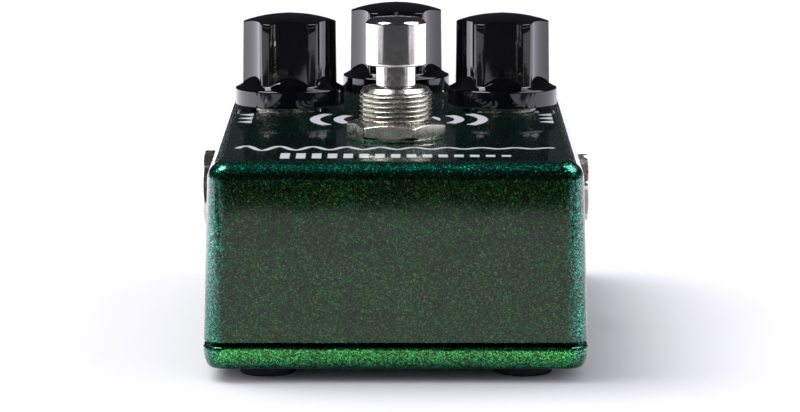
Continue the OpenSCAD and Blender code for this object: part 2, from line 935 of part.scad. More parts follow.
// Status lamp: lens with its collar, and two leads down to the board
module led() {
    collar_z = top_z - 3;
    color([0.75, 0.85, 1])
    translate([small_x, small_y, 0]) {
        translate([0, 0, collar_z])
            cylinder(r = led_r + 0.35, h = 1);
        translate([0, 0, collar_z])
            cylinder(r = led_r, h = 4);
        translate([0, 0, collar_z + 4])
            sphere(r = led_r);
        for (side = [-1, 1])
            translate([side * 1.27 - 0.25, -0.25, board_top])
                cube([0.5, 0.5, collar_z - board_top + 0.5]);
    }
}

module led_bezel() {
    lip = 1;
    color([0.85, 0.85, 0.86])
    translate([small_x, small_y, 0])
        difference() {
            union() {
                translate([0, 0, top_z])
                    cylinder(r1 = bezel_hole_r + 0.9, r2 = bezel_hole_r + 0.3, h = lip);
                translate([0, 0, top_z - 5.5])
                    cylinder(r = bezel_hole_r - 0.05, h = 5.5 + eps);
            }
            translate([0, 0, top_z - 5.5 - cut])
                cylinder(r = led_r + 0.4, h = 3.5 + cut);
            translate([0, 0, top_z - 5.5 - cut])
                cylinder(r = led_r + 0.05, h = 10);
        }
}

// Push switch on the main board under the modulation button
module mod_switch_body() {
    color([0.12, 0.12, 0.13])
    translate([-small_x, small_y, board_top])
        difference() {
            translate([-4.25, -4.25, 0])
                cube([8.5, 8.5, 8]);
            translate([0, 0, 3])
                cylinder(r = 2, h = 6);
        }
}

// Button with its long stem
module mod_button() {
    stem_r = 1.65;
    shoulder_z = top_z - wall_t - 2.4;
    stem_z = board_top + 3 + mod_travel + 0.3;
    color([0.06, 0.06, 0.06])
    translate([-small_x, small_y, 0]) {
        translate([0, 0, stem_z])
            cylinder(r = stem_r, h = shoulder_z - stem_z + eps);
        translate([0, 0, shoulder_z])
            cylinder(r = button_r, h = top_z + button_top - 0.3 - shoulder_z);
        translate([0, 0, top_z + button_top - 0.3])
            cylinder(r1 = button_r, r2 = button_r - 0.3, h = 0.3);
    }
}

// ---------------------------------------------------------------- battery

module battery() {
    color([0.15, 0.16, 0.18])
    translate([battery_x, battery_y, battery_mid_z])
        rotate([0, 90, 0])
            rounded_plate(battery_h, battery_t, battery_len, 2.4);
}

module battery_terminals() {
    color([0.8, 0.8, 0.8])
    translate([battery_x + battery_len, battery_y, battery_mid_z])
        rotate([0, 90, 0]) {
            translate([-terminal_pitch / 2, 0, 0])
                cylinder(r = 2.9, h = terminal_h);
            translate([terminal_pitch / 2, 0, 0])
                difference() {
                    cylinder(r = 4.2, h = terminal_h, $fn = 8);
                    translate([0, 0, 0.4])
                        cylinder(r = 2.95, h = terminal_h);
                }
        }
}

// Clip-on connector that covers the terminals
module battery_snap() {
    snap_t = 3.6;
    color([0.07, 0.07, 0.07])
    translate([battery_x + battery_len + 0.3, battery_y, battery_mid_z])
        rotate([0, 90, 0])
            difference() {
                rounded_plate(24, 12, snap_t, 1.5);
                for (side = [-1, 1])
                    translate([side * terminal_pitch / 2, 0, -cut])
                        cylinder(r = 4.5, h = cut + terminal_h);
            }
}

// Route of a lead from the connector to the main board; side spreads the two leads
function lead_route(side) =
    let (x = battery_x + battery_len + 3.9 + lead_r, z = battery_mid_z + side * 1.4)
    [[x, battery_y + 2, z], [x, battery_y + 5, z], [x - 0.3, battery_y + 10, z - 0.8],
        [x - 1, battery_y + 15, z - 1.5], [x - 1.8, battery_y + 21, z - 1.6],
        [x - 2.4, battery_y + 26, z - 1],
        [x - 2.6 - side, board_y[0] + 1, board_top + 3.4], [x - 2.6 - side, board_y[0] + 1.8, board_top]];

// Smooth curve through the route's points
function smooth(a, b, c, d, t) = 0.5 * (2 * b + (c - a) * t + (2 * a - 5 * b + 4 * c - d) * t * t
    + (3 * b - a - 3 * c + d) * t * t * t);
function curve(p) =
    let (n = len(p) - 1)
    concat([for (i = [0:n - 1], s = [0:lead_steps - 1])
        smooth(p[max(i - 1, 0)], p[i], p[i + 1], p[min(i + 2, n)], s / lead_steps)], [p[n]]);
function unit(v) = v / norm(v);

// Round lead swept along a route that never runs straight up or down for long
module lead(route) {
    path = curve(route);
    n = len(path) - 1;
    points = [for (i = [0:n])
        let (t = unit(path[min(i + 1, n)] - path[max(i - 1, 0)]),
            u = [1, 0, 0] - t * t[0],
            v = unit(u),
            w = cross(t, v))
        for (s = [0:lead_sides - 1])
            let (a = 360 * s / lead_sides)
            path[i] + lead_r * (cos(a) * v + sin(a) * w)];
    sides = [for (i = [0:n - 1], s = [0:lead_sides - 1])
        let (k = (s + 1) % lead_sides, p = i * lead_sides, q = p + lead_sides)
        each [[p + s, q + k, q + s], [p + s, p + k, q + k]]];
    first = [for (s = [lead_sides - 1:-1:0]) s];
    last = [for (s = [0:lead_sides - 1]) n * lead_sides + s];
    polyhedron(points = points, faces = concat(sides, [first, last]));
}

module battery_lead_red() {
    color([0.75, 0.05, 0.05])
    lead(lead_route(1));
}

module battery_lead_black() {
    color([0.06, 0.06, 0.06])
    lead(lead_route(-1));
}

module battery_foam() {
    color([0.25, 0.25, 0.27])
    translate([battery_x + 4, battery_y - battery_t / 2 + 2, plate_z])
        cube([battery_len - 8, battery_t - 4, foam_t]);
}

// ---------------------------------------------------------------- one line per node

enclosure();
bottom_cover();
cover_screws();
rubber_feet();
footswitch_case();
footswitch_bushing();
footswitch_nut();
footswitch_washer();
footswitch_lock_washer();
footswitch_lugs();
footswitch_plunger();
footswitch_spring();
footswitch_board();
footswitch_ribbon();
knob(KNOBS[0]);  // knob_left
knob(KNOBS[1]);  // knob_right
knob(KNOBS[2]);  // knob_rear
set_screw(KNOBS[0]);  // set_screw_left
set_screw(KNOBS[1]);  // set_screw_right
set_screw(KNOBS[2]);  // set_screw_rear
pot_shaft(KNOBS[0]);  // shaft_left
pot_shaft(KNOBS[1]);  // shaft_right
pot_shaft(KNOBS[2]);  // shaft_rear
pot_housing(KNOBS[0]);  // pot_left
pot_housing(KNOBS[1]);  // pot_right
pot_housing(KNOBS[2]);  // pot_rear
pot_nuts();
pot_washers();
pot_terminals();
jack_body();  // input_jack_body
mirror([1, 0, 0]) jack_body();  // output_jack_body
jack_sleeve();  // input_jack_sleeve
mirror([1, 0, 0]) jack_sleeve();  // output_jack_sleeve
jack_nuts();
jack_washers();
jack_contacts();  // input_jack_contacts
mirror([1, 0, 0]) jack_contacts();  // output_jack_contacts
power_jack_body();
power_jack_pin();
power_jack_spring();
main_board();
chips();
electrolytic_capacitors();
film_capacitors();
trimmer_bodies();
trimmer_rotor(TRIMMERS[0]);  // trimmer_rotor_rate
trimmer_rotor(TRIMMERS[1]);  // trimmer_rotor_width
led();
led_bezel();
mod_switch_body();
mod_button();
battery();
battery_terminals();
battery_snap();
battery_lead_red();
battery_lead_black();
battery_foam();
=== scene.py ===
import json
import math

import bmesh
import bpy
from mathutils import Matrix, Vector


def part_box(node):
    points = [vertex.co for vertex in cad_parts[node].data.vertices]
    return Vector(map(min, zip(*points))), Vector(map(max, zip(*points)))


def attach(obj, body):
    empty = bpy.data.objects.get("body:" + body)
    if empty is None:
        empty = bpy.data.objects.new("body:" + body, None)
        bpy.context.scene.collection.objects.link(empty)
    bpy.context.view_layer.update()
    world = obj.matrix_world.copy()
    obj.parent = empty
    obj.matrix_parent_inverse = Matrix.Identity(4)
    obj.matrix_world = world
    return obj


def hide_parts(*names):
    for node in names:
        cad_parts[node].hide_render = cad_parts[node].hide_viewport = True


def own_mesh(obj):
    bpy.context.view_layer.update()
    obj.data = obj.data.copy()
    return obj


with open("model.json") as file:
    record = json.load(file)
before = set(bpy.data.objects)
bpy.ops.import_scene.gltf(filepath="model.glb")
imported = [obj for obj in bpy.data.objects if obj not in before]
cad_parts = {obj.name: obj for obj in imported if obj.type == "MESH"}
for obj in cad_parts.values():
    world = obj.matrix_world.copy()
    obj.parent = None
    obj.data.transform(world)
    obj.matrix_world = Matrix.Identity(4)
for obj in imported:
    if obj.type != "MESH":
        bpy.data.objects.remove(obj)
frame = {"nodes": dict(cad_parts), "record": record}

MM = 0.001
TAU = 2 * math.pi
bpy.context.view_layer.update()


# ---------------------------------------------------------------- places and sizes, from the frame

def middle(node):
    """Centre of a CAD node's box."""
    low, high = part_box(node)
    return (low + high) / 2


top_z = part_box("enclosure")[1].z
switch_place = Vector((0, middle("footswitch_nut").y, 0))
KNOBS = {"left": "left_control", "right": "right_control", "rear": "rear_control"}


# ---------------------------------------------------------------- node helpers for materials

class Shader:
    """A material with one Principled surface and short ways to add nodes."""

    def __init__(self, name, **constants):
        self.material = bpy.data.materials.new(name)
        self.material.use_nodes = True
        self.tree = self.material.node_tree
        self.surface = self.tree.nodes["Principled BSDF"]
        for socket, value in constants.items():
            self.surface.inputs[socket.replace("_", " ")].default_value = value

    def node(self, kind, **settings):
        made = self.tree.nodes.new(kind)
        for key, value in settings.items():
            setattr(made, key, value)
        return made

    def link(self, output, target):
        self.tree.links.new(output, target)

    def put(self, output, socket):
        """Links an output to a socket of the surface."""
        self.link(output, self.surface.inputs[socket])

    def places(self):
        return self.node("ShaderNodeTexCoord").outputs["Object"]

    def stretched(self, factors):
        """Places multiplied by a factor on each axis."""
        mapping = self.node("ShaderNodeMapping")
        mapping.inputs["Scale"].default_value = factors
        self.link(self.places(), mapping.inputs["Vector"])
        return mapping.outputs["Vector"]

    def noise(self, size, detail=3.0, roughness=0.55, vector=None):
        """Cloudy noise whose features are about size metres across."""
        made = self.node("ShaderNodeTexNoise")
        made.inputs["Scale"].default_value = 1 / size
        made.inputs["Detail"].default_value = detail
        made.inputs["Roughness"].default_value = roughness
        self.link(vector or self.places(), made.inputs["Vector"])
        return made.outputs["Fac"]

    def cells(self, size):
        """A random colour for each cell of about size metres."""
        made = self.node("ShaderNodeTexVoronoi")
        made.inputs["Scale"].default_value = 1 / size
        self.link(self.places(), made.inputs["Vector"])
        return made.outputs["Color"]

    def maths(self, operation, first, second):
        made = self.node("ShaderNodeMath", operation=operation)
        for socket, value in zip(made.inputs, (first, second)):
            if isinstance(value, (int, float)):
                socket.default_value = value
            else:
                self.link(value, socket)
        return made.outputs["Value"]

    def vectors(self, operation, first, second):
        made = self.node("ShaderNodeVectorMath", operation=operation)
        for socket, value in zip(made.inputs, (first, second)):
            if isinstance(value, (tuple, list)):
                socket.default_value = value
            else:
                self.link(value, socket)
        return made.outputs["Vector"]

    def spread(self, value, low, high, start=0.0, end=1.0):
        """Maps value from start..end to low..high."""
        made = self.node("ShaderNodeMapRange")
        self.link(value, made.inputs["Value"])
        ends = {"From Min": start, "From Max": end, "To Min": low, "To Max": high}
        for socket, number in ends.items():
            made.inputs[socket].default_value = number
        return made.outputs["Result"]

    def mix(self, factor, first, second):
        """Colour between first and second; each argument is an output or a constant."""
        made = self.node("ShaderNodeMix", data_type="RGBA")
        colour_sockets = (0, 6, 7)
        for place, value in zip(colour_sockets, (factor, first, second)):
            socket = made.inputs[place]
            if isinstance(value, (int, float)):
                socket.default_value = value
            elif isinstance(value, (tuple, list)):
                socket.default_value = (*value[:3], 1)
            else:
                self.link(value, socket)
        return made.outputs[2]

    def bump(self, height, depth, normal=None):
        """Bump of about depth metres from a height between 0 and 1."""
        made = self.node("ShaderNodeBump")
        made.inputs["Strength"].default_value = 1
        made.inputs["Distance"].default_value = depth
        self.link(height, made.inputs["Height"])
        if normal is not None:
            self.link(normal, made.inputs["Normal"])
        return made.outputs["Normal"]


# ---------------------------------------------------------------- materials

def darker(colour, share):
    return tuple(share * c for c in colour)


def flake_paint(name, green, edge_painted_light, corner_painted_light):
    """Metal flakes of mixed tilt and tone under a thick clear lacquer that isn't quite flat.

    green is the flakes' colour on the upright walls, the next colour on the top and its rounded edges, and
    the last on the upright corners. These two are partly the paint's colour flop and partly painted light:
    painted highlight where brighter than green, painted shade where darker.
    """
    flake, tilt = 0.16 * MM, 0.34
    bronze = (0.075, 0.06, 0.04)
    cloud, peel, wave = 9 * MM, 1.6 * MM, 13 * MM
    peel_depth, wave_depth = 1.2e-6, 2.6e-5
    dark_from, dark_to = top_z - 11 * MM, top_z - 4 * MM
    s = Shader(name, Metallic=1.0, Coat_Weight=1.0, Coat_Roughness=0.05, Coat_IOR=1.45)
    flakes = s.cells(flake)
    chance = s.node("ShaderNodeSeparateColor")
    s.link(flakes, chance.inputs["Color"])
    normal = s.node("ShaderNodeNewGeometry").outputs["Normal"]
    lean = s.vectors("MULTIPLY", s.vectors("SUBTRACT", flakes, (0.5, 0.5, 0.5)), (tilt, tilt, tilt))
    s.put(s.vectors("NORMALIZE", s.vectors("ADD", normal, lean), (0, 0, 0)), "Normal")
    # the top, rounded edges and upright corners take other colours than the upright walls: partly the
    # paint's colour flop, partly painted highlight, or painted shade where darker
    facing = s.node("ShaderNodeSeparateXYZ")
    s.link(normal, facing.inputs["Vector"])
    across, along, upward = (s.maths("ABSOLUTE", facing.outputs[axis], 0) for axis in "XYZ")
    wall = s.maths("POWER", s.maths("MAXIMUM", across, along), 8.0)
    upright = s.maths("POWER", s.maths("SUBTRACT", 1.0, upward), 3.0)
    flop_and_painted_light = s.mix(s.maths("SUBTRACT", 1.0, wall), green, s.mix(upright, edge_painted_light, corner_painted_light))
    warm = s.mix(s.spread(chance.outputs["Green"], 0.0, 0.5, 0.65, 1.0), flop_and_painted_light, bronze)
    tone = s.spread(s.maths("POWER", chance.outputs["Red"], 2.6), 0.08, 3.2)
    clouds = s.spread(s.noise(cloud, 4.0), 0.7, 1.3, 0.3, 0.7)
    # painted shade: on faces that turn under, the flakes are darkened and the lacquer's reflection is
    # weakened
    below = s.maths("MULTIPLY", facing.outputs["Z"], -1.0)
    painted_underside_shade = s.spread(below, 1.0, 0.45, 0.05, 0.6)
    # painted light and shade by height: the flakes are a little brighter low on the walls and darkest near
    # the upper edge
    place = s.node("ShaderNodeSeparateXYZ")
    s.link(s.places(), place.inputs["Vector"])
    painted_height_shade = s.spread(place.outputs["Z"], 1.15, 0.65, dark_from, dark_to)
    level = s.maths("MULTIPLY", s.maths("MULTIPLY", tone, clouds), s.maths("MULTIPLY", painted_underside_shade, painted_height_shade))
    grey = s.node("ShaderNodeCombineXYZ")
    for axis in "XYZ":
        s.link(level, grey.inputs[axis])
    s.put(s.vectors("MULTIPLY", warm, grey.outputs["Vector"]), "Base Color")
    s.put(s.spread(chance.outputs["Blue"], 0.16, 0.34), "Roughness")
    peeled = s.bump(s.noise(peel, 1.0), peel_depth)
    s.put(s.bump(s.noise(wave, 2.0, 0.5), wave_depth, peeled), "Coat Normal")
    # painted shade: the lacquer reflects less on faces that turn under
    s.put(s.spread(below, 1.0, 0.2, 0.1, 0.6), "Coat Weight")
    return s.material


def plated(name, colour, roughness, pit_depth=0.9e-6):
    """Bright plating with fine pits, faint stains and uneven gloss."""
    stain = (0.6, 0.55, 0.42)
    s = Shader(name, Metallic=1.0)
    pits = s.noise(0.22 * MM, 2.0, 0.6)
    specks = s.spread(pits, 0.0, 1.0, 0.58, 0.7)
    stained = s.mix(s.spread(s.noise(2.6 * MM, 4.0), 0.0, 0.35, 0.5, 0.8), colour, stain)
    s.put(s.mix(s.maths("MULTIPLY", specks, 0.3), stained, darker(colour, 0.35)), "Base Color")
    s.put(s.spread(s.noise(0.8 * MM, 4.0), roughness * 0.7, roughness * 1.5, 0.3, 0.7), "Roughness")
    s.put(s.bump(pits, pit_depth), "Normal")
    return s.material


def turned(name, colour, roughness):
    """Sheet or turned metal with fine rings and a dull sheen."""
    s = Shader(name, Metallic=1.0)
    rings = s.noise(0.15 * MM, 2.0, 0.5, s.stretched((0.05, 0.05, 1.0)))
    s.put(s.mix(s.noise(3 * MM), colour, darker(colour, 0.75)), "Base Color")
    s.put(s.spread(rings, roughness * 0.8, roughness * 1.3, 0.3, 0.7), "Roughness")
    s.put(s.bump(rings, 1.5e-6), "Normal")
    return s.material


def moulded(name, colour, roughness, grain=0.3 * MM, grain_depth=1.5e-6, dust=0.0, ior=1.5):
    """Moulded plastic or rubber: fine grain, slight tone change, a little dust."""
    s = Shader(name, IOR=ior)
    paler = tuple(1.5 * c + 0.001 for c in colour)
    tone = s.mix(s.spread(s.noise(6 * MM, 3.0), 0.0, 0.6, 0.3, 0.7), colour, paler)
    specks = s.spread(s.noise(0.12 * MM, 1.0), 0.0, dust, 0.68, 0.8)
    s.put(s.mix(specks, tone, (0.5, 0.5, 0.52)), "Base Color")
    s.put(s.spread(s.noise(1.5 * MM, 4.0), roughness * 0.8, roughness * 1.35, 0.3, 0.7), "Roughness")
    s.put(s.bump(s.noise(grain, 3.0), grain_depth), "Normal")
    return s.material


def solder_mask(name):
    """Green board with lighter tracks running under its mask and a fine weave."""
    s = Shader(name, Roughness=0.3)
    lanes = s.node("ShaderNodeTexBrick")
    lanes.inputs["Scale"].default_value = 1 / (9 * MM)
    lanes.inputs["Mortar Size"].default_value = 0.07
    greens = {"Color1": (0.006, 0.11, 0.045), "Color2": (0.008, 0.14, 0.06), "Mortar": (0.03, 0.3, 0.12)}
    for socket, colour in greens.items():
        lanes.inputs[socket].default_value = (*colour, 1)
    s.link(s.places(), lanes.inputs["Vector"])
    weave = s.spread(s.noise(0.6 * MM), 0, 0.3)
    s.put(s.mix(weave, lanes.outputs["Color"], (0.01, 0.09, 0.04)), "Base Color")
    s.put(s.bump(s.noise(0.25 * MM, 2.0), 2e-6), "Normal")
    return s.material


def ribbed(name, colour, pitch):
    """Ribbon cable: parallel cores side by side."""
    s = Shader(name, Roughness=0.42)
    wave = s.node("ShaderNodeTexWave", wave_type="BANDS", bands_direction="X")
    wave.inputs["Scale"].default_value = 1 / pitch / TAU * 2
    s.link(s.places(), wave.inputs["Vector"])
    # painted shade: darker in the grooves between the cores, where the bump dips
    s.put(s.mix(wave.outputs["Fac"], darker(colour, 0.6), colour), "Base Color")
    s.put(s.bump(wave.outputs["Fac"], 6e-5), "Normal")
    return s.material


def lens(name):
    """Clear lamp lens with faint moulding marks."""
    s = Shader(name, IOR=1.5, Transmission_Weight=0.75)
    s.put(s.mix(s.noise(1.5 * MM), (0.75, 0.86, 1.0), (0.95, 0.97, 1.0)), "Base Color")
    s.put(s.spread(s.noise(0.7 * MM), 0.03, 0.12), "Roughness")
    s.put(s.bump(s.noise(0.9 * MM, 2.0), 3e-6), "Normal")
    return s.material


def ink(name):
    """Thick white screen print with a slightly uneven lay."""
    s = Shader(name, Coat_Weight=0.5, Coat_Roughness=0.1)
    worn = s.spread(s.noise(0.5 * MM, 4.0), 0, 0.5, 0.4, 0.8)
    s.put(s.mix(worn, (0.86, 0.87, 0.88), (0.7, 0.73, 0.74)), "Base Color")
    s.put(s.spread(s.noise(0.4 * MM, 3.0), 0.3, 0.5), "Roughness")
    s.put(s.bump(s.noise(0.3 * MM, 3.0), 4e-6), "Normal")
    return s.material


MATERIALS = {
    # body: its top, edge and corner colours, far brighter than its wall green, are painted highlight; cover:
    # its edge colour, darker than its green, is painted shade on its turned-under edge
    "body_paint": flake_paint(
        "body_paint", green=(0.0015, 0.038, 0.0035), edge_painted_light=(0.003, 0.34, 0.205), corner_painted_light=(0.022, 0.2, 0.14)),
    "cover_paint": flake_paint(
        "cover_paint", green=(0.022, 0.285, 0.035), edge_painted_light=(0.003, 0.12, 0.08), corner_painted_light=(0.02, 0.22, 0.15)),
    "zinc": turned("zinc", (0.68, 0.68, 0.66), 0.32),
    "rubber": moulded("rubber", (0.012, 0.012, 0.013), 0.72, grain=0.4 * MM, grain_depth=9e-6, dust=0.15),
    "switch_plastic": moulded("switch_plastic", (0.02, 0.08, 0.35), 0.4),
    "nickel": plated("nickel", (0.82, 0.78, 0.71), 0.22, pit_depth=2.4e-6),
    "plunger_nickel": plated("plunger_nickel", (0.86, 0.84, 0.81), 0.1, pit_depth=2.2e-6),
    "spring_steel": turned("spring_steel", (0.55, 0.55, 0.57), 0.25),
    "shaft_metal": turned("shaft_metal", (0.78, 0.78, 0.79), 0.28),
    "can_metal": turned("can_metal", (0.62, 0.62, 0.62), 0.35),
    "contact_metal": plated("contact_metal", (0.78, 0.64, 0.36), 0.25),
    "knob_black": moulded(
        "knob_black", (0.002, 0.002, 0.0026), 0.045, grain=2.5 * MM, grain_depth=5e-6, dust=0.02, ior=1.6),
    "black_plastic": moulded("black_plastic", (0.02, 0.02, 0.022), 0.42),
    "button_black": moulded("button_black", (0.011, 0.011, 0.012), 0.25),
    "circuit_board": solder_mask("circuit_board"),
    "chip_black": moulded("chip_black", (0.02, 0.02, 0.021), 0.55, grain=0.2 * MM, grain_depth=4e-6),
    "capacitor_blue": moulded("capacitor_blue", (0.02, 0.03, 0.12), 0.3),
    "capacitor_red": moulded("capacitor_red", (0.4, 0.04, 0.02), 0.25, grain=1.5 * MM, grain_depth=1e-5),
    "trimmer_blue": moulded("trimmer_blue", (0.02, 0.09, 0.4), 0.35),
    "trimmer_white": moulded("trimmer_white", (0.8, 0.77, 0.68), 0.45),
    "led_lens": lens("led_lens"),
    "bezel_chrome": plated("bezel_chrome", (0.86, 0.86, 0.86), 0.06, pit_depth=0.3e-6),
    "battery_wrap": moulded(
        "battery_wrap", (0.03, 0.035, 0.045), 0.3, grain=2 * MM, grain_depth=4e-6, dust=0.05),
    "ribbon_grey": ribbed("ribbon_grey", (0.35, 0.35, 0.37), pitch=1.0 * MM),
    "wire_red": moulded("wire_red", (0.5, 0.01, 0.01), 0.35),
    "wire_black": moulded("wire_black", (0.015, 0.015, 0.015), 0.35),
    "foam_grey": moulded("foam_grey", (0.08, 0.08, 0.085), 0.95, grain=0.5 * MM, grain_depth=8e-5),
}
WHITE_INK = ink("white_ink")


def paint_frame():
    """Gives every CAD node the material of its slot."""
    for part in frame["record"]["subparts"]:
        mesh = frame["nodes"][part["node"]].data
        mesh.materials.clear()
        mesh.materials.append(MATERIALS[part["material_slot"]])


# ---------------------------------------------------------------- mesh helpers

def shade(mesh, angle=32):
    """Smooth shading with sharp edges above an angle in degrees."""
    for polygon in mesh.polygons:
        polygon.use_smooth = True
    mesh.set_sharp_from_angle(angle=math.radians(angle))


def weighted(piece):
    """Lets large flat faces keep their own normals beside rounded ones."""
    modifier = piece.modifiers.new("weighted", "WEIGHTED_NORMAL")
    modifier.keep_sharp = True
    modifier.weight = 80


def bevel(piece, width):
    """Eases the edges that turn by more than 40 degrees."""
    modifier = piece.modifiers.new("bevel", "BEVEL")
    modifier.width = width
    modifier.segments = 2
    modifier.limit_method = "ANGLE"
    modifier.angle_limit = math.radians(40)


def finish_piece(piece, body, node, slot):
    """Puts a made piece on its body, in the place of a CAD node and with a slot's finish."""
    piece.data.materials.clear()
    piece.data.materials.append(MATERIALS[slot])
    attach(piece, body)
    weighted(piece)
    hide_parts(node)


def finish_print(piece, body):
    """Puts printed ink on its body; it stands for no CAD node."""
    piece.data.materials.append(WHITE_INK)
    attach(piece, body)


def mesh_piece(name, vertices, faces, place=(0, 0, 0)):
    """Object of a shape moved to a place, with its faces turned outwards."""
    mesh = bpy.data.meshes.new(name)
    mesh.from_pydata([Vector(v) + Vector(place) for v in vertices], [], faces)
    made = bmesh.new()
    made.from_mesh(mesh)
    bmesh.ops.recalc_face_normals(made, faces=made.faces)
    made.to_mesh(mesh)
    made.free()
    piece = bpy.data.objects.new(name, mesh)
    bpy.context.scene.collection.objects.link(piece)
    return piece


def polar_surface(angles, outline, closed):
    """Vertices and faces of a surface round Z.

    outline(angle) gives its (radius, height) points, always as many; a closed outline runs back to
    its first point.
    """
    columns = [outline(angle) for angle in angles]
    vertices, index = [], []
    for row in range(len(columns[0])):
        # a row on the axis is a single vertex
        if max(column[row][0] for column in columns) < 1e-9:
            index.append([len(vertices)] * len(angles))
            vertices.append((0, 0, columns[0][row][1]))
            continue
        index.append(list(range(len(vertices), len(vertices) + len(angles))))
        for angle, column in zip(angles, columns):
            radius, height = column[row]
            vertices.append((radius * math.cos(angle), radius * math.sin(angle), height))
    rows = len(index)
    faces = []
    for row in range(rows if closed else rows - 1):
        lower, upper = index[row], index[(row + 1) % rows]
        for j in range(len(angles)):
            k = (j + 1) % len(angles)
            corners = list(dict.fromkeys((lower[j], lower[k], upper[k], upper[j])))
            if len(corners) > 2:
                faces.append(corners)
    return vertices, faces


def even_angles(count):
    return [TAU * i / count for i in range(count)]


def lathe(outline, steps, closed=True):
    """Shape of one outline turned round Z."""
    return polar_surface(even_angles(steps), lambda angle: outline, closed)


def arc(centre, radius, start, end, steps):
    """Pairs of coordinates along an arc, from start to end degrees."""
    turn = [math.radians(start + (end - start) * i / steps) for i in range(steps + 1)]
    return [(centre[0] + radius * math.cos(a), centre[1] + radius * math.sin(a)) for a in turn]


def refined(node, rim=0.0):
    """The CAD node's own shape, welded and shaded as a whole, with its sharp rims eased by rim."""
    piece = bpy.data.objects.new(node + "_shell", frame["nodes"][node].data.copy())
    bpy.context.scene.collection.objects.link(piece)
    made = bmesh.new()
    made.from_mesh(piece.data)
    bmesh.ops.remove_doubles(made, verts=made.verts, dist=1e-6)
    made.to_mesh(piece.data)
    made.free()
    shade(piece.data, 30)
    if rim:
        bevel(piece, rim)
    slot = next(p["material_slot"] for p in frame["record"]["subparts"] if p["node"] == node)
    finish_piece(piece, "root", node, slot)


# ---------------------------------------------------------------- knobs

knob_low, knob_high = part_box("knob_left")
KNOB = {
    "skirt_r": (knob_high.x - knob_low.x) / 2,
    "height": knob_high.z - knob_low.z,
    "foot_r": 8.15 * MM,
    "top_r": 7.98 * MM,
    "skirt_h": 2.95 * MM,
    "dome_rise": 1.35 * MM,
    "flute_r": 9.2 * MM,
    "flute_depth": 1.4 * MM,
    "flutes": 6,
    "flute_half": 25,
    "shaft_r": 3.03 * MM,
    "shaft_top": 13 * MM,
    "entry_r": 4 * MM,
    "entry_top": 4 * MM,
    "nut_room_r": 6.9 * MM,
    "nut_room_top": 2.75 * MM,
    "rim": 0.16 * MM,
}
FLARE_CENTRE = (12.15 * MM, 9.07 * MM)
FLARE_R = 6.81 * MM
FLARE_TOP = 5.4 * MM


def soft_min(a, b, k):
    """The smaller of a and b, rounded where they are closer than k."""
    h = max(k - abs(a - b), 0) / k
    return min(a, b) - h * h * k / 4


def knob_wall(angle, z):
    """Radius of the fluted body at a height above the knob's foot."""
    straight = KNOB["foot_r"] + (KNOB["top_r"] - KNOB["foot_r"]) * z / KNOB["height"]
    sector = TAU / KNOB["flutes"]
    off = (angle - TAU / 4 + sector / 2) % sector - sector / 2
    centre = KNOB["foot_r"] + KNOB["flute_r"] - KNOB["flute_depth"]
    across = centre * math.sin(off)
    flute = centre * math.cos(off) - math.sqrt(max(KNOB["flute_r"] ** 2 - across ** 2, 0))
    rib_ease = 0.14 * MM
    return soft_min(straight, flute, rib_ease)


def knob_side(angle, z):
    """Radius where the flare of the skirt runs up into the fluted body."""
    wall = knob_wall(angle, z)
    if z >= FLARE_TOP:
        return wall
    flare = FLARE_CENTRE[0] - math.sqrt(FLARE_R ** 2 - (FLARE_CENTRE[1] - z) ** 2)
    flare_ease = 0.1 * MM
    return -soft_min(-wall, -flare, flare_ease)


def knob_dome(radius):
    """Height of the domed top at a radius."""
    sphere = (KNOB["top_r"] ** 2 + KNOB["dome_rise"] ** 2) / (2 * KNOB["dome_rise"])
    return KNOB["height"] - sphere + math.sqrt(sphere ** 2 - radius ** 2)


def knob_shell(angle):
    """Outer side of the knob from the top of its skirt to the middle of its dome."""
    flare_rows, wall_rows, rim_rows, dome_rows = 30, 6, 5, 9
    skirt_h, rim = KNOB["skirt_h"], KNOB["rim"]
    points = []
    for i in range(flare_rows + 1):
        z = skirt_h + (FLARE_TOP - skirt_h) * i / flare_rows
        points.append((knob_side(angle, z), z))
    edge_r = knob_wall(angle, KNOB["height"] - KNOB["dome_rise"])
    edge_z = knob_dome(edge_r)
    for i in range(1, wall_rows + 1):
        z = FLARE_TOP + (edge_z - rim - FLARE_TOP) * i / wall_rows
        points.append((knob_wall(angle, z), z))
    inner_r = edge_r - rim
    ends = list(zip(points[-1], (edge_r, edge_z), (inner_r, knob_dome(inner_r))))
    for i in range(1, rim_rows + 1):
        t = i / rim_rows
        points.append(tuple((1 - t) ** 2 * a + 2 * t * (1 - t) * b + t * t * c for a, b, c in ends))
    for i in range(1, dome_rows + 1):
        r = inner_r * (1 - i / dome_rows)
        points.append((r, knob_dome(r)))
    return points


def knob_outline(angle):
    """The whole knob at an angle: the hollow for shaft and nut, the skirt, then the outer side."""
    hollow = [
        (0, KNOB["shaft_top"]),
        (KNOB["shaft_r"], KNOB["shaft_top"]),
        (KNOB["shaft_r"], KNOB["entry_top"]),
        (KNOB["entry_r"], KNOB["entry_top"]),
        (KNOB["entry_r"], KNOB["nut_room_top"]),
        (KNOB["nut_room_r"], KNOB["nut_room_top"]),
        (KNOB["nut_room_r"], 0),
    ]
    skirt_r, foot_round, top_round = KNOB["skirt_r"], 0.15 * MM, 0.3 * MM
    skirt = arc((skirt_r - foot_round, foot_round), foot_round, -90, 0, 3)
    skirt += arc((skirt_r - top_round, KNOB["skirt_h"] - top_round), top_round, 0, 80, 5)
    return hollow + skirt + knob_shell(angle)


def knob_angles():
    """Angles crowded where the flutes meet the ribs."""
    flute, sector = KNOB["flute_half"], 360 / KNOB["flutes"]
    rib = sector / 2 - flute
    found = []
    for k in range(KNOB["flutes"]):
        centre = 90 + k * sector
        for middle_angle, half, steps in ((centre, flute, 22), (centre + sector / 2, rib, 8)):
            turns = [math.pi / 2 * (2 * i / steps - 1) for i in range(steps)]
            found += [middle_angle + half * math.sin(turn) for turn in turns]
    return [math.radians(a) for a in found]


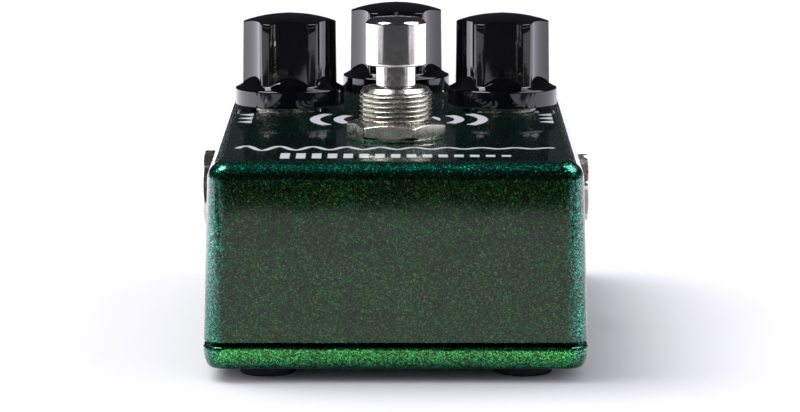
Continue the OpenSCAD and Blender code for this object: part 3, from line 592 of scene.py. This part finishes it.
def bored(piece, start, direction, radius, length):
    """Cuts a round hole from start along direction."""
    cylinder = lathe([(0, 0), (radius, 0), (radius, length), (0, length)], 48, False)
    cutter = mesh_piece("cutter", *cylinder)
    turn = Vector((0, 0, 1)).rotation_difference(Vector(direction)).to_matrix().to_4x4()
    cutter.data.transform(Matrix.Translation(start) @ turn)
    modifier = piece.modifiers.new("hole", "BOOLEAN")
    modifier.object = cutter
    modifier.solver = "EXACT"
    bpy.context.view_layer.update()
    seen = piece.evaluated_get(bpy.context.evaluated_depsgraph_get())
    mesh = bpy.data.meshes.new_from_object(seen)
    piece.modifiers.remove(modifier)
    piece.data = mesh
    bpy.data.objects.remove(cutter)


def strip(name, path, half_width, thickness, place):
    """Thin inlay that follows a path of (y, z) points, half_width to each side along X."""
    vertices, faces = [], []
    for i, point in enumerate(path):
        before, after = path[max(i - 1, 0)], path[min(i + 1, len(path) - 1)]
        run = Vector((after[0] - before[0], after[1] - before[1])).normalized()
        out = Vector((run.y, -run.x))
        for across, above in ((-1, 1), (1, 1), (1, -1), (-1, -1)):
            lift = above * thickness
            vertices.append((across * half_width, point[0] + out.x * lift, point[1] + out.y * lift))
    for i in range(len(path) - 1):
        a, b = 4 * i, 4 * (i + 1)
        faces += [(a + k, a + (k + 1) % 4, b + (k + 1) % 4, b + k) for k in range(4)]
    last = 4 * (len(path) - 1)
    faces += [(0, 1, 2, 3), (last + 3, last + 2, last + 1, last)]
    return mesh_piece(name, vertices, faces, place)


def make_knobs():
    """Each knob, with its set screw's hole and a pointer line up its rear side and over its top."""
    vertices, faces = polar_surface(knob_angles(), knob_outline, False)
    screw_angle = math.radians(30)
    screw_direction = (math.cos(screw_angle), math.sin(screw_angle), 0)
    screw_r, screw_length = 1.55 * MM, 12 * MM
    pointer_low, pointer_end_r = FLARE_TOP + 0.3 * MM, 1.6 * MM
    pointer_half, pointer_lift = 0.45 * MM, 0.04 * MM
    pointer = [p for p in knob_shell(math.pi / 2) if p[1] > pointer_low and p[0] > pointer_end_r]
    for side, body in KNOBS.items():
        node = "knob_" + side
        centre = middle(node)
        place = Vector((centre.x, centre.y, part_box(node)[0].z))
        knob = mesh_piece(node + "_moulding", vertices, faces, place)
        screw = Vector((centre.x, centre.y, middle("set_screw_" + side).z))
        bored(knob, screw, screw_direction, screw_r, screw_length)
        shade(knob.data, 38)
        finish_piece(knob, body, node, "knob_black")
        line = strip(node + "_pointer", pointer, pointer_half, pointer_lift, place)
        shade(line.data)
        finish_print(line, body)


# ---------------------------------------------------------------- threaded and hexagonal metal

def thread_wave(phase, depth):
    """How far below its crest a thread lies at a phase from 0 to 1."""
    crest, slope = 0.13, 0.4
    if phase < crest:
        return 0.0
    if phase < crest + slope:
        return depth * (phase - crest) / slope
    if phase > 1 - slope:
        return depth * (1 - phase) / slope
    return depth


def threaded_tube(radius, bore, depth, pitch, low, high, chamfer):
    """Closed tube with a true helical thread, chamfered and eased at its upper end."""
    rows_per_turn = 14
    ease = 0.12 * MM
    count = int((high - low) / pitch * rows_per_turn)

    def outline(angle):
        points = [(bore, low), (radius - depth, low)]
        for i in range(1, count):
            z = low + (high - low) * i / count
            cut = thread_wave((z / pitch - angle / TAU) % 1.0, depth)
            taper = max(0.0, chamfer - (high - z)) * 0.9
            points.append((min(radius - cut, radius - taper), z))
        return points + [(radius - chamfer * 0.95, high), (bore + ease, high), (bore, high - ease)]

    return polar_surface(even_angles(96), outline, True)


def hexagon_nut(thread_r, across_flats, height, fall, turn):
    """Hexagon nut whose corners a cone turns off by fall on its outer face; turn is in degrees."""
    bore = thread_r + 0.05 * MM
    ease = 0.25 * MM
    half = across_flats / 2
    corner_r = across_flats / math.sqrt(3)
    flat_r = bore + 0.3 * MM
    slope = fall / (corner_r + 0.06 * MM - flat_r)

    def outline(angle):
        off = (angle - math.radians(turn)) % (TAU / 6) - TAU / 12
        side = soft_min(half / math.cos(off), 0.992 * corner_r, 0.1 * MM)
        top = height - slope * (side - flat_r)
        low = max(0.02 * MM, 0.9 * slope * (side - half))
        return [
            (bore + ease, 0),
            (half - 0.1 * MM, 0),
            (side - 0.02 * MM, low),
            (side, low + 0.06 * MM),
            (side, top - 0.07 * MM),
            (side - 0.04 * MM, top - 0.01 * MM),
            (side - 0.1 * MM, top + slope * 0.1 * MM),
            (flat_r, height),
            (bore + ease, height),
            (bore, height - ease),
            (bore, ease),
        ]

    return polar_surface(even_angles(144), outline, True)


def flat_washer(outer, thread_r, height):
    """Washer with eased edges, loose on its thread."""
    inner = thread_r + 0.15 * MM
    inner_ease = 0.05 * MM
    ease = 0.45 * height
    outline = [
        (inner, 0),
        (outer - ease, 0),
        (outer - 0.3 * ease, 0.3 * ease),
        (outer, ease),
        (outer, height - ease),
        (outer - 0.3 * ease, height - 0.3 * ease),
        (outer - ease, height),
        (inner + inner_ease, height),
        (inner, height - inner_ease),
    ]
    return lathe(outline, 128)


def join_shapes(shapes):
    """Several (vertices, faces) shapes as one."""
    vertices, faces = [], []
    for more_vertices, more_faces in shapes:
        start = len(vertices)
        vertices += [tuple(v) for v in more_vertices]
        faces += [[start + i for i in face] for face in more_faces]
    return vertices, faces


def moved(shape, matrix):
    """A shape placed by a matrix."""
    return [matrix @ Vector(v) for v in shape[0]], shape[1]


def block(low, high, ease):
    """Box with eased upright edges, as a shape."""
    (x0, y0, z0), (x1, y1, z1) = low, high
    ring = [
        (x0 + ease, y0), (x1 - ease, y0),
        (x1, y0 + ease), (x1, y1 - ease),
        (x1 - ease, y1), (x0 + ease, y1),
        (x0, y1 - ease), (x0, y0 + ease),
    ]
    count = len(ring)
    vertices = [(*p, z0) for p in ring] + [(*p, z1) for p in ring]
    faces = [list(range(count - 1, -1, -1)), list(range(count, 2 * count))]
    faces += [[i, (i + 1) % count, count + (i + 1) % count, count + i] for i in range(count)]
    return vertices, faces


BUSHING_R = 5.95 * MM
STEM_R = 3.22 * MM


def make_footswitch():
    """Threaded bushing on its square plate, hexagon nut and washer."""
    low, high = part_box("footswitch_bushing")
    plate_t, plate_ease = 1 * MM, 0.6 * MM
    bore = STEM_R + 0.05 * MM
    depth, pitch, chamfer = 0.42 * MM, 0.794 * MM, 0.95 * MM
    tube = threaded_tube(BUSHING_R, bore, depth, pitch, low.z + plate_t, high.z, chamfer)
    plate = block(low, (high.x, high.y, low.z + plate_t), plate_ease)
    shape = join_shapes([moved(tube, Matrix.Translation(switch_place)), plate])
    bushing = mesh_piece("footswitch_thread", *shape)
    bored(bushing, switch_place + Vector((0, 0, low.z - plate_t)), (0, 0, 1), bore, 3 * plate_t)
    shade(bushing.data, 50)
    finish_piece(bushing, "root", "footswitch_bushing", "nickel")

    low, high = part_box("footswitch_nut")
    across_flats, fall, turn = 14.3 * MM, 0.8 * MM, -10
    nut = hexagon_nut(BUSHING_R, across_flats, high.z - low.z, fall, turn)
    piece = mesh_piece("footswitch_hexagon", *nut, switch_place + Vector((0, 0, low.z)))
    shade(piece.data, 32)
    finish_piece(piece, "root", "footswitch_nut", "nickel")

    low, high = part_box("footswitch_washer")
    ring = flat_washer((high.x - low.x) / 2, BUSHING_R, high.z - low.z)
    piece = mesh_piece("footswitch_ring", *ring, switch_place + Vector((0, 0, low.z)))
    shade(piece.data, 40)
    finish_piece(piece, "root", "footswitch_washer", "nickel")


def make_plunger():
    """Cap with an eased lower edge, a crisp upper rim and a top that rounds steeply into a flat dome."""
    low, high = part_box("footswitch_plunger")
    cap_r, cap_foot, rim_z = (high.x - low.x) / 2, top_z + 12 * MM, high.z - 0.85 * MM
    stem_low, stem_ease = low.z + 4.9 * MM, 0.05 * MM
    tip_r, tip_ease = 2 * MM, 0.2 * MM
    foot_ease, rim = 0.28 * MM, 0.07 * MM
    shoulder, steep, flat, steps = 1.15 * MM, 62, 8, 12
    outline = [
        (0, low.z),
        (tip_r - tip_ease, low.z),
        (tip_r, low.z + tip_ease),
        (tip_r, stem_low),
        (STEM_R, stem_low + 2 * stem_ease),
        (STEM_R, stem_low + 8 * stem_ease),
        (STEM_R, cap_foot - 6 * stem_ease),
        (STEM_R, cap_foot - stem_ease),
        (STEM_R + stem_ease, cap_foot),
    ]
    outline += arc((cap_r - foot_ease, cap_foot + foot_ease), foot_ease, -90, 0, 6)
    outline += [
        (cap_r, cap_foot + 2 * foot_ease),
        (cap_r, rim_z - 4 * rim),
        (cap_r, rim_z - rim),
        (cap_r - 0.3 * rim, rim_z - 0.3 * rim),
        (cap_r - rim, rim_z),
    ]
    turn = math.radians(steep)
    centre_r = cap_r - 1.5 * rim - shoulder * math.sin(turn)
    centre_z = rim_z + 0.3 * rim - shoulder * math.cos(turn)
    outline += arc((centre_r, centre_z), shoulder, 90 - steep, 90 - flat, steps)
    dome_r, dome_z = outline[-1]
    for i in range(1, steps + 1):
        share = 1 - i / steps
        outline.append((dome_r * share, high.z - (high.z - dome_z) * share ** 2))
    piece = mesh_piece("footswitch_cap", *lathe(outline, 128, False), switch_place)
    shade(piece.data, 22)
    finish_piece(piece, "plunger", "footswitch_plunger", "plunger_nickel")


def make_spring():
    """Coil round the stem."""
    low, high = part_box("footswitch_spring")
    wire_r, turns, steps, sides = 0.3 * MM, 6, 32, 12
    coil_r = (high.x - low.x) / 2 - wire_r
    start, rise = low.z + wire_r, high.z - low.z - 2 * wire_r
    rows = turns * steps
    vertices = []
    for i in range(rows + 1):
        turn, z = TAU * i / steps, start + rise * i / rows
        for s in range(sides):
            round_wire = TAU * s / sides
            r = coil_r + wire_r * math.cos(round_wire)
            vertices.append((r * math.cos(turn), r * math.sin(turn), z + wire_r * math.sin(round_wire)))
    faces = [list(range(sides)), list(range(rows * sides, (rows + 1) * sides))]
    for i in range(rows):
        this_ring, next_ring = i * sides, (i + 1) * sides
        for s in range(sides):
            n = (s + 1) % sides
            faces.append((this_ring + s, next_ring + s, next_ring + n, this_ring + n))
    coil = mesh_piece("footswitch_coil", vertices, faces, switch_place)
    shade(coil.data, 50)
    finish_piece(coil, "root", "footswitch_spring", "spring_steel")
    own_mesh(coil)


def make_jacks():
    """Threaded sleeve, nut and washer at each side, turned to point outwards."""
    sleeve = middle("input_jack_sleeve")
    jack_r, plug_r = 4.5 * MM, 3.2 * MM
    depth, pitch, chamfer = 0.38 * MM, 0.75 * MM, 0.4 * MM
    across_flats, nut_h, fall = 11 * MM, 2.15 * MM, 0.35 * MM
    washer_r, washer_t = 6.1 * MM, 0.5 * MM
    nut_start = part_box("jack_nuts")[1].x - nut_h
    nuts, washers = [], []
    for side, name, turn in ((1, "input", 19), (-1, "output", 10)):
        low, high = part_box(name + "_jack_sleeve")
        start, end = (low.x, high.x) if side > 0 else (-high.x, -low.x)
        outward = Matrix.Translation((0, sleeve.y, sleeve.z)) @ Matrix.Rotation(side * math.pi / 2, 4, "Y")
        tube = threaded_tube(jack_r, plug_r, depth, pitch, start, end, chamfer)
        piece = mesh_piece(name + "_jack_thread", *moved(tube, outward))
        shade(piece.data, 50)
        finish_piece(piece, "root", name + "_jack_sleeve", "nickel")
        nut = hexagon_nut(jack_r, across_flats, nut_h, fall, turn)
        nuts.append(moved(nut, outward @ Matrix.Translation((0, 0, nut_start))))
        ring = flat_washer(washer_r, jack_r, washer_t)
        washers.append(moved(ring, outward @ Matrix.Translation((0, 0, nut_start - washer_t))))
    joined = (("jack_hexagons", "jack_nuts", nuts), ("jack_rings", "jack_washers", washers))
    for name, node, shapes in joined:
        piece = mesh_piece(name, *join_shapes(shapes))
        shade(piece.data, 32)
        finish_piece(piece, "root", node, "nickel")


# ---------------------------------------------------------------- printed marks (generic)

INK_T = 0.03 * MM


def stroke(points, width):
    """Flat band of a width along points, as a shape at z = 0."""
    vertices = []
    for i, point in enumerate(points):
        before, after = points[max(i - 1, 0)], points[min(i + 1, len(points) - 1)]
        run = (Vector(after) - Vector(before)).normalized()
        side = Vector((-run.y, run.x)) * width / 2
        vertices += [(point[0] + side.x, point[1] + side.y, 0), (point[0] - side.x, point[1] - side.y, 0)]
    faces = [(2 * i, 2 * i + 1, 2 * i + 3, 2 * i + 2) for i in range(len(points) - 1)]
    return vertices, faces


def filled(points):
    """Flat shape inside an outline, at z = 0."""
    return [(x, y, 0) for x, y in points], [list(range(len(points)))]


def bar(x, y, width, height):
    """Flat upright bar about a middle point."""
    w, h = width / 2, height / 2
    return filled([(x - w, y - h), (x + w, y - h), (x + w, y + h), (x - w, y + h)])


def printed(name, shapes):
    """Raised ink on the top face; the shapes are in millimetres."""
    vertices, faces = join_shapes(shapes)
    piece = mesh_piece(name, [Vector(v) * MM for v in vertices], faces, (0, 0, top_z + INK_T))
    for polygon in piece.data.polygons:
        if polygon.normal.z < 0:
            polygon.flip()
    thick = piece.modifiers.new("thickness", "SOLIDIFY")
    thick.thickness = INK_T * 1.3
    thick.offset = -1
    finish_print(piece, "root")


def print_echo_wave():
    """A wave that fades like an echo, in front of the footswitch."""
    reach, y, swing, wavelength, fade, steps = 25.4, -37.2, 3.0, 5.4, 30, 240
    wave = []
    for i in range(steps + 1):
        run = 2 * reach * i / steps
        wave.append((run - reach, y + swing * math.exp(-run / fade) * math.sin(TAU * run / wavelength)))
    printed("print_echo_wave", [stroke(wave, 0.95)])


def print_pulses():
    """Bars that get shorter, near the front edge."""
    first_x, y, pitch, width, tallest, loss = -17.5, -46.6, 2.5, 1.5, 6.4, 0.33
    printed("print_pulses", [bar(first_x + pitch * i, y, width, tallest - loss * i) for i in range(15)])


def print_rings():
    """Arcs that spread from a dot behind the footswitch."""
    centre, dot_r, width, opening = (0.5, 1.3), 2.6, 1.7, 64
    rings = []
    for radius in (6.2, 10.2, 14.2):
        for start in (-opening / 2, 180 - opening / 2):
            rings.append(stroke(arc(centre, radius, start, start + opening, 24), width))
    sides = 48
    rings.append(filled(arc(centre, dot_r, 0, 360 - 360 / sides, sides - 1)))
    printed("print_rings", rings)


def print_knob_marks():
    """Shortening bars under one line by the left knob, and widening gaps by the right one."""
    left_x, pitch, top_y, tallest, loss = -22.9, 2.1, 13.4, 2.6, 0.44
    right_x, gap, growth, y = 14.4, 0.75, 0.42, 12.4
    marks = []
    for i in range(5):
        height = tallest - loss * i
        marks.append(bar(left_x + pitch * i, top_y - height / 2, 1.2, height))
    for i in range(5):
        marks.append(bar(right_x + gap * i + growth * i * i, y, 0.8, 2.4))
    printed("print_knob_marks", marks)


def print_arrows():
    """Arrows for the way in and the way out."""
    edge_x, first_y, pitch = 25.4, -2.2, 5.0
    tip, tail, half = 1.2, 1.1, 1.7
    arrows = []
    for side in (-1, 1):
        for i in range(3):
            x, y = side * edge_x, first_y + pitch * i
            arrows.append(filled([(x - tip, y), (x + tail, y - half), (x + tail, y + half)]))
    printed("print_arrows", arrows)


# ---------------------------------------------------------------- stage, light and camera

def reflection_card(name, across, along, height, colour, axis, fade):
    """Glowing sheet that only reflections see; it fades in along an axis from fade[0] to fade[1]."""
    (x0, x1), (y0, y1) = across, along
    corners = [(x0, y0, height), (x1, y0, height), (x1, y1, height), (x0, y1, height)]
    card = mesh_piece(name, corners, [(0, 1, 2, 3)])
    material = bpy.data.materials.new(name)
    material.use_nodes = True
    tree = material.node_tree
    tree.nodes.remove(tree.nodes["Principled BSDF"])
    glow = tree.nodes.new("ShaderNodeEmission")
    glow.inputs["Color"].default_value = (*colour, 1)
    clear = tree.nodes.new("ShaderNodeBsdfTransparent")
    places = tree.nodes.new("ShaderNodeTexCoord")
    axes = tree.nodes.new("ShaderNodeSeparateXYZ")
    ramp = tree.nodes.new("ShaderNodeMapRange")
    mixed = tree.nodes.new("ShaderNodeMixShader")
    tree.links.new(places.outputs["Object"], axes.inputs["Vector"])
    tree.links.new(axes.outputs[axis], ramp.inputs["Value"])
    ramp.inputs["From Min"].default_value, ramp.inputs["From Max"].default_value = fade
    tree.links.new(ramp.outputs["Result"], mixed.inputs["Fac"])
    tree.links.new(clear.outputs["BSDF"], mixed.inputs[1])
    tree.links.new(glow.outputs["Emission"], mixed.inputs[2])
    tree.links.new(mixed.outputs["Shader"], tree.nodes["Material Output"].inputs["Surface"])
    card.data.materials.append(material)
    card.visible_camera = False
    card.visible_diffuse = False
    card.visible_shadow = False
    card.visible_transmission = False


def make_stage():
    """Pale floor, and the cards that the gloss reflects: dark ones in front, bright ones at the sides."""
    size = 6.0
    corners = [(-size, -size, 0), (size, -size, 0), (size, size, 0), (-size, size, 0)]
    floor = mesh_piece("floor", corners, [(0, 1, 2, 3)])
    s = Shader("floor_white", Roughness=0.9, Specular_IOR_Level=0.0)
    s.put(s.mix(s.noise(0.4), (0.875, 0.87, 0.88), (0.89, 0.885, 0.895)), "Base Color")
    floor.data.materials.append(s.material)
    far, flag_far, fade_width = 3.0, 0.42, 0.03
    dark, left_white, right_white = (0.06, 0.06, 0.065), (2.4, 2.35, 2.55), (1.6, 1.55, 1.72)
    reflection_card("front_flag", (-far, far), (-far, -0.335), 0.001, dark, "Y", (-0.335, -0.37))
    reflection_card("cap_flag", (-0.2, 0.2), (-0.4, -0.13), 0.022, dark, "Y", (-0.13, -0.145))
    for side, name in ((-1, "left"), (1, "right")):
        for ending, inner, along in (("_flag", 0.19, (-0.26, -0.2)), ("_flag_deep", 0.29, (-0.2, -0.13))):
            across = sorted((flag_far * side, inner * side))
            fade = (inner * side, (inner + fade_width) * side)
            reflection_card(name + ending, across, along, 0.001, dark, "X", fade)
    reflection_card("left_glow", (-far, -0.09), (-0.14, far), 0.0005, left_white, "X", (-0.09, -0.17))
    reflection_card("right_glow", (0.12, far), (-0.14, far), 0.0005, right_white, "X", (0.12, 0.2))


def sun(name, direction, strength, spread, colour, glossy):
    """Sun from a direction, spread degrees wide, for glossy rays alone or for diffuse rays alone."""
    light = bpy.data.lights.new(name, "SUN")
    light.energy = strength
    light.angle = math.radians(spread)
    light.color = colour
    lamp = bpy.data.objects.new(name, light)
    lamp.rotation_euler = Vector(direction).to_track_quat("Z", "Y").to_euler()
    lamp.visible_diffuse = not glossy
    lamp.visible_glossy = glossy
    bpy.context.scene.collection.objects.link(lamp)


def make_light():
    """Suns from above, and a world that is white to the camera and almost dark to glossy rays."""
    white = (1.0, 1.0, 1.0)
    sun("key_soft", (-0.44, 0.19, 0.88), 1.95, 45, white, glossy=False)
    sun("key_glint", (-0.45, 0.0, 0.89), 2.2, 26, white, glossy=True)
    sun("fill_glint", (0.6, 0.1, 0.79), 1.8, 40, (0.95, 0.94, 1.0), glossy=True)
    to_camera, to_diffuse, to_glossy = 1.0, 0.75, 0.03
    world = bpy.data.worlds.new("studio")
    bpy.context.scene.world = world
    world.use_nodes = True
    tree = world.node_tree
    background = tree.nodes["Background"]
    background.inputs["Color"].default_value = (0.94, 0.93, 1.04, 1)
    rays = tree.nodes.new("ShaderNodeLightPath")
    soft, shown = (tree.nodes.new("ShaderNodeMix") for _ in range(2))
    soft.inputs["A"].default_value = to_diffuse
    soft.inputs["B"].default_value = to_glossy
    tree.links.new(rays.outputs["Is Glossy Ray"], soft.inputs["Factor"])
    shown.inputs["B"].default_value = to_camera
    tree.links.new(rays.outputs["Is Camera Ray"], shown.inputs["Factor"])
    tree.links.new(soft.outputs["Result"], shown.inputs["A"])
    tree.links.new(shown.outputs["Result"], background.inputs["Strength"])


def make_camera():
    """The photo's view: a long lens a little above the pedal's top, facing the footswitch end."""
    tilt_down = 8.079
    data = bpy.data.cameras.new("photo_camera")
    data.sensor_width = 36
    data.lens = 193.44
    data.clip_start = 0.01
    data.clip_end = 30
    camera = bpy.data.objects.new("photo_camera", data)
    camera.location = (0.00068, -0.72053, 0.12247)
    camera.rotation_euler = (math.radians(90 - tilt_down), 0, 0)
    bpy.context.scene.collection.objects.link(camera)
    bpy.context.scene.camera = camera
    bpy.context.scene.view_settings.view_transform = "Standard"


make_camera()
paint_frame()
refined("enclosure", rim=0.12 * MM)
refined("bottom_cover")
make_knobs()
make_footswitch()
make_plunger()
make_spring()
make_jacks()
print_echo_wave()
print_pulses()
print_rings()
print_knob_marks()
print_arrows()
make_stage()
make_light()
